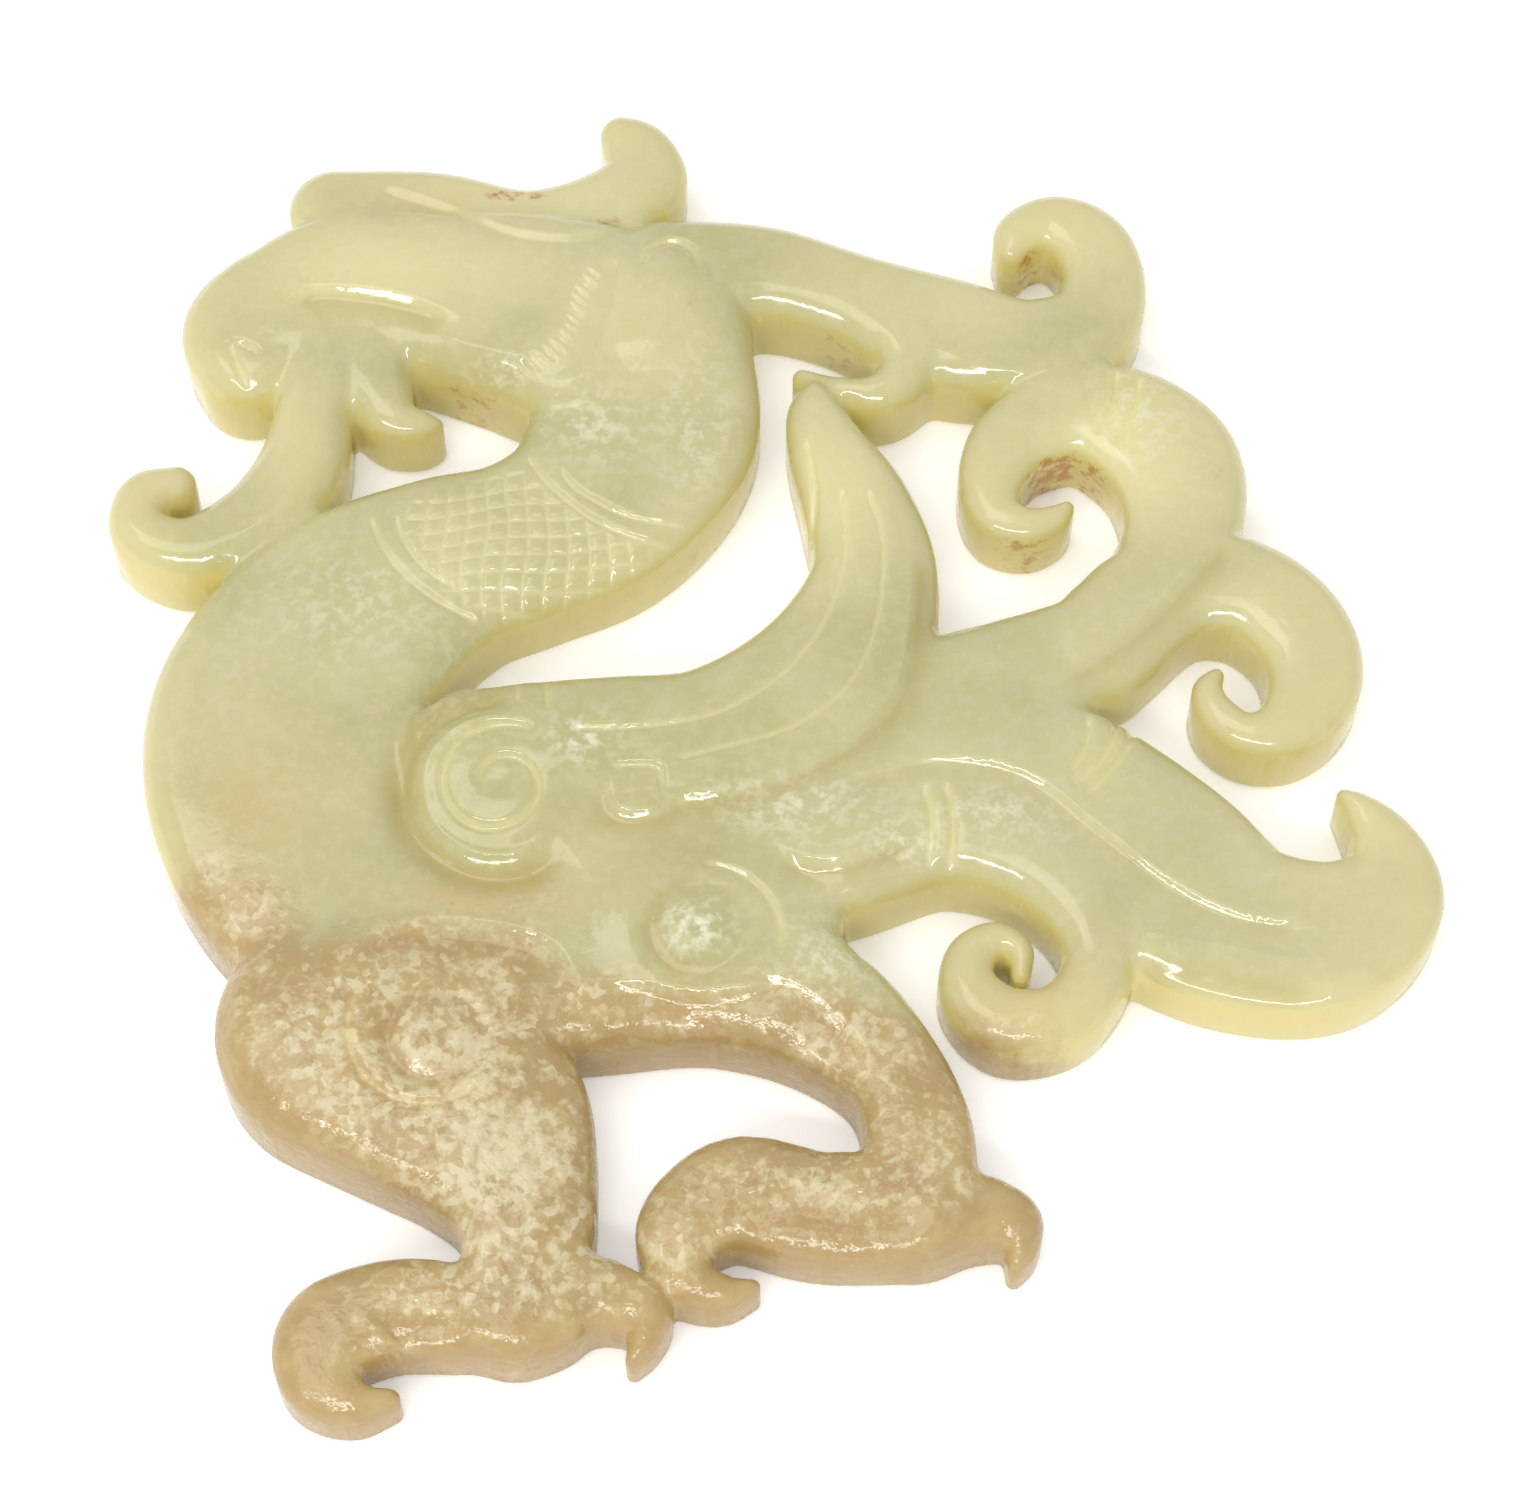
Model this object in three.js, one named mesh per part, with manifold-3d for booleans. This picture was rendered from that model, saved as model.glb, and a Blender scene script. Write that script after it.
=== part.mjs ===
// Jade carving: an openwork plaque of a winged, crested beast with a scrolled mane and tail,
// carved from one slab of stone. It lies on its flat back, carved face up.
// Millimetres, +Z up. The beast looks towards -X and its crest points to +Y.
import * as THREE from 'three';
import Module from 'manifold-3d';

const wasm = await Module();
wasm.setup();

// Slab
const EDGE = 3.5; // height of the upright side all round the outline
const CROWN = 5.2; // height of the rounded ridge along a limb
const PLAN_CENTRE = new THREE.Vector2(-0.24, 0.57); // middle of the outline, moved to the origin

// Cross-section of a limb's top: [place across the half width, share of the rise from edge to crown]
const ARCH = [[-1, 0], [-0.86, 0.5], [-0.48, 0.88], [0, 1], [0.48, 0.88], [0.86, 0.5], [1, 0]];
const TIGHTEST_BEND = 0.9; // a limb's inner side stops at this share of its bend radius
const CAP_TURNS = [40, 76]; // degrees round the rounded end of a limb
const SPAN_STEPS = 2; // cross-sections in each span between two points of a curve

// Engraved lines
const LINE_HALF_WIDTH = 0.42;
const LINE_DEPTH = 0.5;
const LINE_ABOVE = 0.9; // how far the cutter stands out of the surface
const LINE_FADE = 5; // a line reaches its full depth after a fifth of its length

// Limbs. Each point of a limb's curve is [x, y, half width]. edge and crown are its heights at the
// start and the end, where they differ from the slab's.
const LIMBS = {
  neckAndChest: {
    points: [[-5, 27.5, 4.2], [-5.7, 22.5, 5.3], [-6.3, 18, 6.1], [-8.9, 13.3, 5.5], [-12.7, 10.9, 5],
      [-16.8, 9.4, 5.4], [-21.6, 6, 6.6], [-24.7, 0.5, 7], [-24.5, -5, 6.8], [-21, -10.3, 6.7],
      [-13.5, -12.2, 7], [-6, -11.8, 6.8], [-2, -11, 6.3]],
  },
  body: { points: [[-12, -6, 5], [-4, -6.5, 5], [4, -4.5, 6.5], [11, -1.5, 5.5]] },
  wing: {
    points: [[-14.8, -2.7, 3.9], [-7.5, -1.8, 3.7], [-3, -1.3, 3.7], [1.3, 0.6, 4.1], [4.8, 4.3, 4.1],
      [6, 8.8, 3.3], [5.1, 13, 2.9], [3.6, 16.6, 2.1], [3, 18.6, 1.6], [2.9, 19.8, 1]],
    edge: [4.3, 3.6],
    crown: [6, 5],
  },
  wingScroll: { points: [[-13.8, -4.8, 4.3], [-12.8, -5.1, 4.3]], crown: [5.8, 5.8] },
  head: {
    points: [[-26.4, 25.6, 4.4], [-22.5, 27.6, 5], [-16.5, 26.9, 5.6], [-10.5, 25.8, 6.2], [-6, 25, 5.2]],
    crown: [5.4, 5.8],
  },
  snout: { points: [[-26.8, 26.1, 3.9], [-28, 24.6, 3.8], [-27.9, 22.6, 3.1]] },
  cheek: { points: [[-17.5, 24.5, 3], [-14, 23, 3], [-10.5, 21.5, 3.2]], crown: [5.6, 6] },
  jaw: {
    points: [[-21.5, 23, 2.5], [-20.9, 20.6, 1.9], [-20, 18.9, 1.4], [-18.5, 18.4, 0.9], [-17.6, 18.5, 0.4]],
    crown: [5, 4],
  },
  beard: {
    points: [[-23.8, 23, 2.4], [-24.3, 19, 2.1], [-24.8, 15.5, 2.4], [-27.2, 11.9, 2.3], [-30.6, 10.3, 1.9],
      [-33.1, 11.5, 1.6], [-33, 13.6, 1.5], [-31.4, 14.4, 1.1]],
    crown: [5.2, 4.6],
  },
  crest: {
    points: [[-23.8, 32.9, 2.6], [-18.5, 33.2, 2.2], [-13, 32.4, 1.7], [-8.8, 33.2, 2.3], [-6.6, 35, 2.4],
      [-7, 37.2, 1.9], [-7.9, 38.2, 1.2]],
    crown: [4.9, 4.4],
  },
  mane: {
    points: [[-5, 28, 4], [0, 28.4, 3.1], [5, 26.8, 2.8], [10.2, 24.4, 3.6], [14.5, 23.7, 2.9], [18, 25, 2.6],
      [19, 28, 2.3], [18.2, 30.8, 2.2], [16.3, 32, 1.8], [14.4, 31.2, 1.4], [13.9, 29.9, 0.8]],
    crown: [5.2, 4.4],
  },
  maneLobe: {
    points: [[8, 24, 2.2], [8, 21.8, 1.6], [6.4, 20.3, 1.2], [4, 20.6, 0.8], [2.2, 21.5, 0.5]],
    crown: [5, 4.2],
  },
  belly: {
    points: [[-9, -15, 4], [-2, -14.8, 3.9], [3, -16.7, 3.4], [6.5, -20.2, 2.6], [7.7, -23.5, 2.7],
      [7.5, -27, 3]],
    crown: [4.8, 4.6],
  },
  hindHaunch: { points: [[-4.4, -12.2, 5], [-1.6, -13.6, 4.7], [2.4, -16, 3.3]], crown: [5.8, 5.2] },
  hindToe: {
    points: [[7.5, -27.3, 3], [3, -27.4, 2.9], [-1.4, -26.5, 2.8], [-4, -28.6, 2.1], [-3.6, -30.8, 1.4],
      [-1.9, -31.6, 0.9], [-0.4, -31.3, 0.4]],
    edge: [3.3, 2.6],
    crown: [4.6, 3.4],
  },
  hindSpur: {
    points: [[8, -27.4, 2.5], [10.9, -27.5, 1.8], [12.4, -28, 1.3], [12.6, -29.3, 0.8], [12.3, -30.2, 0.4]],
    edge: [3.3, 2.6],
    crown: [4.4, 3.2],
  },
  frontLeg: {
    points: [[-20.2, -17.9, 6.9], [-16.6, -20.2, 6.4], [-13.5, -23.1, 5.2], [-11.8, -26.3, 3.8], [-11.3, -29, 3.2],
      [-11.8, -32.6, 2.8]],
    crown: [5.8, 4.5],
  },
  frontToe: {
    points: [[-10.5, -32.3, 2.6], [-14.5, -32.6, 2.4], [-18, -32.6, 2.5], [-20.7, -33.8, 2.5],
      [-21, -35.9, 1.9], [-19.4, -37.2, 1.1], [-17.6, -37, 0.5]],
    edge: [3.3, 2.6],
    crown: [4.5, 3.4],
  },
  frontSpur: {
    points: [[-9.8, -31.6, 2.2], [-7.2, -31.9, 1.7], [-5.6, -32.6, 1.35], [-5.6, -34, 0.8], [-6.1, -35, 0.4]],
    edge: [3.3, 2.6],
    crown: [4.4, 3.2],
  },
  tailSpiral: {
    points: [[8, 0, 4.6], [13.5, 2.3, 3.6], [18.8, 5.6, 2.8], [22.4, 11.3, 3.1], [21.9, 16.6, 3.7],
      [17.8, 19.4, 3.1], [13.8, 17.7, 2.3], [12.3, 14.6, 1.7], [12.7, 12.6, 1.4], [14.3, 11.9, 1.1],
      [15.7, 12.4, 0.8], [16.4, 13.1, 0.4]],
    crown: [5.2, 4.2],
  },
  tailCurl: {
    points: [[17.5, 4.2, 3.2], [22, 8.2, 3.2], [25.8, 7.8, 2.9], [28.5, 5, 2.7], [28.8, 1.8, 2.4],
      [27.2, -0.6, 1.7], [25.2, -1, 1.2], [23.7, 0.2, 1.1], [23.3, 1.7, 0.8], [23.8, 2.6, 0.4]],
    crown: [5.2, 4.2],
  },
  tailHook: {
    points: [[9, -1.5, 5.5], [14.5, -4.3, 5.4], [19.7, -8.7, 5.6], [24, -12, 4.7], [28.5, -12.6, 4.1],
      [31.8, -10.4, 2.8], [31.9, -7.6, 1.8], [30.8, -5.6, 1], [29.9, -4.7, 0.4]],
    crown: [5, 4.2],
  },
  tailScroll: {
    points: [[4, -7.5, 4], [9, -6.2, 3.6], [13.6, -8, 2.8], [16.6, -11.6, 2.2], [16.9, -14.5, 1.8],
      [15, -17.1, 1.7], [12.2, -17.4, 1.8], [10.4, -15.6, 1.5], [10.6, -13.7, 1.2], [11.9, -12.9, 0.9],
      [13, -13.6, 0.7], [13, -15, 0.4]],
    crown: [5.4, 4.2],
  },
};

// Engraved lines, each through [x, y] points on the carved face
const LINES = {
  tailDivide: [[5, -4.2], [8, -3.4], [11, -3.4], [14, -4.3], [17, -7], [21, -10.4], [26, -12.4]],
  tailSpiralRoot: [[11, -0.4], [15, 1.9], [19.5, 5.1], [23, 8.6]],
  wingEdge: [[-7, -6.2], [-4.5, -5.7], [-2, -5.1], [1.3, -3.9], [4.5, -2], [6.6, 0.5], [7.5, 4], [7.9, 8.5]],
  featherUpper: [[-9.5, -1.8], [-5, -1.5], [-1, -0.3], [2, 2.4], [3.6, 5.6], [4.3, 9], [4.2, 13]],
  featherLower: [[-4.5, -3.6], [-2, -3], [2, -1.5], [4.4, 0.7], [5.7, 3.6], [6.2, 9.5]],
  brow: [[-26.2, 25], [-24.8, 26.2], [-22, 26.1], [-19, 25.4], [-16.4, 24.1]],
  cheekEdge: [[-8.2, 26.5], [-8.3, 23.5], [-9.2, 21], [-11.5, 19.6]],
  neckBandFront: [[-20.6, 11.4], [-20, 9.5], [-18.6, 7.5], [-16.5, 5.9]],
  neckBandBack: [[-12.3, 15], [-11, 13], [-9, 11.2], [-6.5, 10.1], [-4.6, 10]],
};

// Coiled lines: centre, radius at the outer and inner end, starting direction in degrees and turns
const COILS = {
  wingScroll: { centre: [-13.3, -5.1], outer: 3.5, inner: 1.1, start: 20, turns: 1.4 },
  frontHaunch: { centre: [-16.2, -19.2], outer: 3.4, inner: 1.3, start: 60, turns: 1.3 },
  hindHaunch: { centre: [-3.2, -13.3], outer: 3.4, inner: 1.3, start: 100, turns: 1.3 },
};
const COIL_STEPS_PER_TURN = 12;

// A closed solid from rings of points; each ring runs left to right over the top, seen along the limb.
function solidFromRings(rings) {
  const size = rings[0].length;
  const triangles = [];
  for (let r = 0; r < rings.length - 1; r++) {
    for (let k = 0; k < size; k++) {
      const a = r * size + k;
      const b = r * size + ((k + 1) % size);
      triangles.push(a, b, b + size, a, b + size, a + size);
    }
  }
  const last = (rings.length - 1) * size;
  for (let k = 1; k < size - 1; k++) {
    triangles.push(0, k + 1, k);
    triangles.push(last, last + k, last + k + 1);
  }
  const positions = rings.flat().flatMap((p) => [p.x, p.y, p.z]);
  return new wasm.Manifold(new wasm.Mesh({
    numProp: 3,
    vertProperties: new Float32Array(positions),
    triVerts: new Uint32Array(triangles),
  }));
}

// Stations along a limb: place, direction, half widths to its left and right, edge and crown height.
function stationsOf({ points, edge = [EDGE, EDGE], crown = [CROWN, CROWN] }) {
  const curve = new THREE.CatmullRomCurve3(points.map((p) => new THREE.Vector3(...p)), false, 'centripetal');
  const samples = curve.getPoints(SPAN_STEPS * (points.length - 1));
  const flat = samples.map((p) => new THREE.Vector2(p.x, p.y));
  return samples.map((sample, i) => {
    const before = flat[Math.max(i - 1, 0)];
    const after = flat[Math.min(i + 1, flat.length - 1)];
    const along = after.clone().sub(before).normalize();
    const turnIn = flat[i].clone().sub(before);
    const turnOut = after.clone().sub(flat[i]);
    const turn = Math.atan2(turnIn.cross(turnOut), turnIn.dot(turnOut));
    const bendRadius = (turnIn.length() + turnOut.length()) / 2 / Math.max(Math.abs(turn), 0.001);
    const inside = Math.min(sample.z, TIGHTEST_BEND * bendRadius);
    const t = i / (samples.length - 1);
    return {
      place: flat[i],
      along,
      left: turn > 0 ? inside : sample.z,
      right: turn < 0 ? inside : sample.z,
      edge: THREE.MathUtils.lerp(...edge, t),
      crown: THREE.MathUtils.lerp(...crown, t),
    };
  });
}

// A rounded end beyond a limb's first or last station.
function capStations(station, outward) {
  const radius = (station.left + station.right) / 2;
  return CAP_TURNS.map((degrees) => {
    const angle = THREE.MathUtils.degToRad(degrees);
    const narrowing = Math.cos(angle);
    return {
      ...station,
      place: station.place.clone().addScaledVector(station.along, outward * radius * Math.sin(angle)),
      left: station.left * narrowing,
      right: station.right * narrowing,
      crown: THREE.MathUtils.lerp(station.edge, station.crown, narrowing),
    };
  });
}

function withRoundEnds(stations) {
  const start = capStations(stations[0], -1).reverse();
  const end = capStations(stations[stations.length - 1], 1);
  return [...start, ...stations, ...end];
}

function ringAt({ place, along, left, right, edge, crown }) {
  const across = new THREE.Vector2(-along.y, along.x);
  const at = (share, height) => {
    const plan = place.clone().addScaledVector(across, -share * (share < 0 ? left : right));
    return new THREE.Vector3(plan.x, plan.y, height);
  };
  const top = ARCH.map(([share, rise]) => at(share, edge + rise * (crown - edge)));
  return [at(-1, 0), ...top, at(1, 0)];
}

const limbs = Object.values(LIMBS).map((limb) => withRoundEnds(stationsOf(limb)));

// Height of one limb's top above a point between two of its stations, or 0 beside the limb.
function heightOver(from, to, point) {
  const span = to.place.clone().sub(from.place);
  const offset = point.clone().sub(from.place);
  const t = THREE.MathUtils.clamp(offset.dot(span) / span.lengthSq(), 0, 1);
  const half = THREE.MathUtils.lerp(Math.min(from.left, from.right), Math.min(to.left, to.right), t);
  const share = offset.addScaledVector(span, -t).length() / half;
  if (share > 1) {
    return 0;
  }
  const edge = THREE.MathUtils.lerp(from.edge, to.edge, t);
  const crown = THREE.MathUtils.lerp(from.crown, to.crown, t);
  const outer = ARCH.findIndex(([place]) => place >= share);
  const [[nearPlace, nearRise], [farPlace, farRise]] = ARCH.slice(outer - 1, outer + 1);
  const rise = THREE.MathUtils.mapLinear(share, nearPlace, farPlace, nearRise, farRise);
  return edge + rise * (crown - edge);
}

function surfaceHeight(point) {
  let height = 0;
  for (const stations of limbs) {
    for (let i = 0; i < stations.length - 1; i++) {
      height = Math.max(height, heightOver(stations[i], stations[i + 1], point));
    }
  }
  return height;
}

// A V-shaped cutter that follows the carved face and fades out at both ends.
function lineCutter(path) {
  const widen = (LINE_DEPTH + LINE_ABOVE) / LINE_DEPTH;
  const rings = path.map((point, i) => {
    const before = path[Math.max(i - 1, 0)];
    const after = path[Math.min(i + 1, path.length - 1)];
    const along = after.clone().sub(before).normalize();
    const across = new THREE.Vector2(-along.y, along.x);
    const t = i / (path.length - 1);
    const depth = LINE_DEPTH * Math.min(1, LINE_FADE * t, LINE_FADE * (1 - t));
    const surface = surfaceHeight(point);
    const side = (sign) => {
      const plan = point.clone().addScaledVector(across, sign * LINE_HALF_WIDTH * widen);
      return new THREE.Vector3(plan.x, plan.y, surface + LINE_ABOVE);
    };
    return [new THREE.Vector3(point.x, point.y, surface - depth), side(1), side(-1)];
  });
  return solidFromRings(rings);
}

function linePath(points) {
  const curve = new THREE.SplineCurve(points.map((p) => new THREE.Vector2(...p)));
  return curve.getPoints(SPAN_STEPS * (points.length - 1));
}

function coilPath({ centre, outer, inner, start, turns }) {
  const count = Math.round(COIL_STEPS_PER_TURN * turns);
  const path = [];
  for (let i = 0; i <= count; i++) {
    const t = i / count;
    const angle = THREE.MathUtils.degToRad(start) + 2 * Math.PI * turns * t;
    const radius = THREE.MathUtils.lerp(outer, inner, t);
    path.push(new THREE.Vector2(centre[0] + radius * Math.cos(angle), centre[1] + radius * Math.sin(angle)));
  }
  return path;
}

// The carving: the limbs joined into one stone, then the lines engraved in its face
const limbSolids = limbs.map((stations) => solidFromRings(stations.map(ringAt)));
let stone = limbSolids.reduce((joined, solid) => joined.add(solid));
const cutPaths = [...Object.values(LINES).map(linePath), ...Object.values(COILS).map(coilPath)];
for (const path of cutPaths) {
  stone = stone.subtract(lineCutter(path));
}

const { vertProperties, triVerts } = stone.getMesh();
const geometry = new THREE.BufferGeometry();
geometry.setAttribute('position', new THREE.BufferAttribute(vertProperties, 3));
geometry.setIndex(new THREE.BufferAttribute(triVerts, 1));
geometry.computeVertexNormals();

const jade = new THREE.MeshStandardMaterial({ color: '#cdcb9b', roughness: 0.22, metalness: 0 });
const carving = new THREE.Mesh(geometry, jade);
carving.name = 'jade_carving';
carving.position.set(-PLAN_CENTRE.x, -PLAN_CENTRE.y, 0);

const group = new THREE.Group();
group.add(carving);

export default group;
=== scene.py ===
"""Jade carving: an openwork plaque of a winged, crested beast, lying on its flat back on pale paper.

The carved face is a height map over the plan of the limbs. Sizes are millimetres in the drawing's
plan until the mesh is made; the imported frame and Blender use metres.
"""

import math

import bpy
import numpy as np
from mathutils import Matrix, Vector


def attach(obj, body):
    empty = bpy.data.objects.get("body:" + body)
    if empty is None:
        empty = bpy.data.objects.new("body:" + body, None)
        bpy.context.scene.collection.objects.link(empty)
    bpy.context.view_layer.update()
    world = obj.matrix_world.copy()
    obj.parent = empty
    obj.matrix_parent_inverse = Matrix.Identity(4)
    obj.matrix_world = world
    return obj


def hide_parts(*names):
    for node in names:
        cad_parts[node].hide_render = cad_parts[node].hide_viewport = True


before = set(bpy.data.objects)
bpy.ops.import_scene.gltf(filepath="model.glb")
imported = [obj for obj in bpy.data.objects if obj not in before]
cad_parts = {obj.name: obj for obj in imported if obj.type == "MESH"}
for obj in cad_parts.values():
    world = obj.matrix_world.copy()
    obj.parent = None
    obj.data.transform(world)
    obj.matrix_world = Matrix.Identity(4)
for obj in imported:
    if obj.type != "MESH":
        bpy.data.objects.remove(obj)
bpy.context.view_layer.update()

MM = 0.001
PLAN_CENTRE = (-0.24, 0.57)  # middle of the drawing's outline, which is the frame's origin

# Slab
EDGE = 3.5  # height of the upright side all round
CROWN = 5.2  # height of the rounded ridge along a limb
CHAMFER = (1.4, 0.6)  # width and drop of the rounded bevel along every outer edge of the face
TOP_ROUNDING = 0.4  # radius of the rounded edge between the bevel and the side
BACK_ROUNDING = 0.4  # radius of the eased edge round the back
FILLET = 0.5  # how softly two limbs' outlines run into each other
GRID_STEP = 0.1
GRID_BOX = (-36.5, 36.5, -40.5, 41.5)
SPINE_STEP = 0.3
SIDE_ROWS = (0.25, 0.5, 0.75)  # places of the rows of points down the side, as shares of its height
POLISH = {"fine": (0.7, 0.012), "broad": (2.2, 0.035)}  # size and height of the unevenness left by polishing
PITTING = (0.22, 0.022)  # size and height of the rough grain of the weathered stone
SURFACE_SEED = 11
LIP = (0.2, 0.18)  # half width of the lip along a carved bevel, and its rise as a share of the bevel's drop
LINE_FADE = 0.7  # length over which an engraved line comes up to its full depth
BEVEL_FADE = 1.8  # the same for a bevel
BEVEL_EASE = 1.5  # power that eases a bevel's hollow back to the ground
MESH_TRIANGLES = 185000  # after the flat parts have been thinned out

# Working out the fields
FAR = 9.0  # distance given to grid points that are nowhere near a limb
LIMB_MARGIN = 1  # how far outside a limb its distance is worked out
LIMB_ARCH = (3, 0.6)  # powers that round a limb's top: flat along the ridge, steep at the edge
PATH_MARGIN = 3  # a line is worked out to this many times its reach
OUTLINE_SOFTNESS = 0.15  # blur radius of the outline
FACE_SOFTNESS = 0.3  # blur radius of the tops where limbs run into each other
FACE_LOWEST = EDGE - 1  # least height of a top before that blur
LEAST_STONE = 0.02  # least share of stone that the blur is divided by
HOLLOW_SOFTNESS = 0.06  # blur radius of the carved hollows
WEATHERED_SOFTNESS = 1.5  # blur radius of the weathered patch's border
THIN_REACH = 2.8  # radius in which the stone is looked for, to tell where it is thin
CELL_GUARD = 0.001  # keeps a sampled place inside the last grid cell
TINY = 1e-12  # keeps a divisor from being nothing

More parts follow.
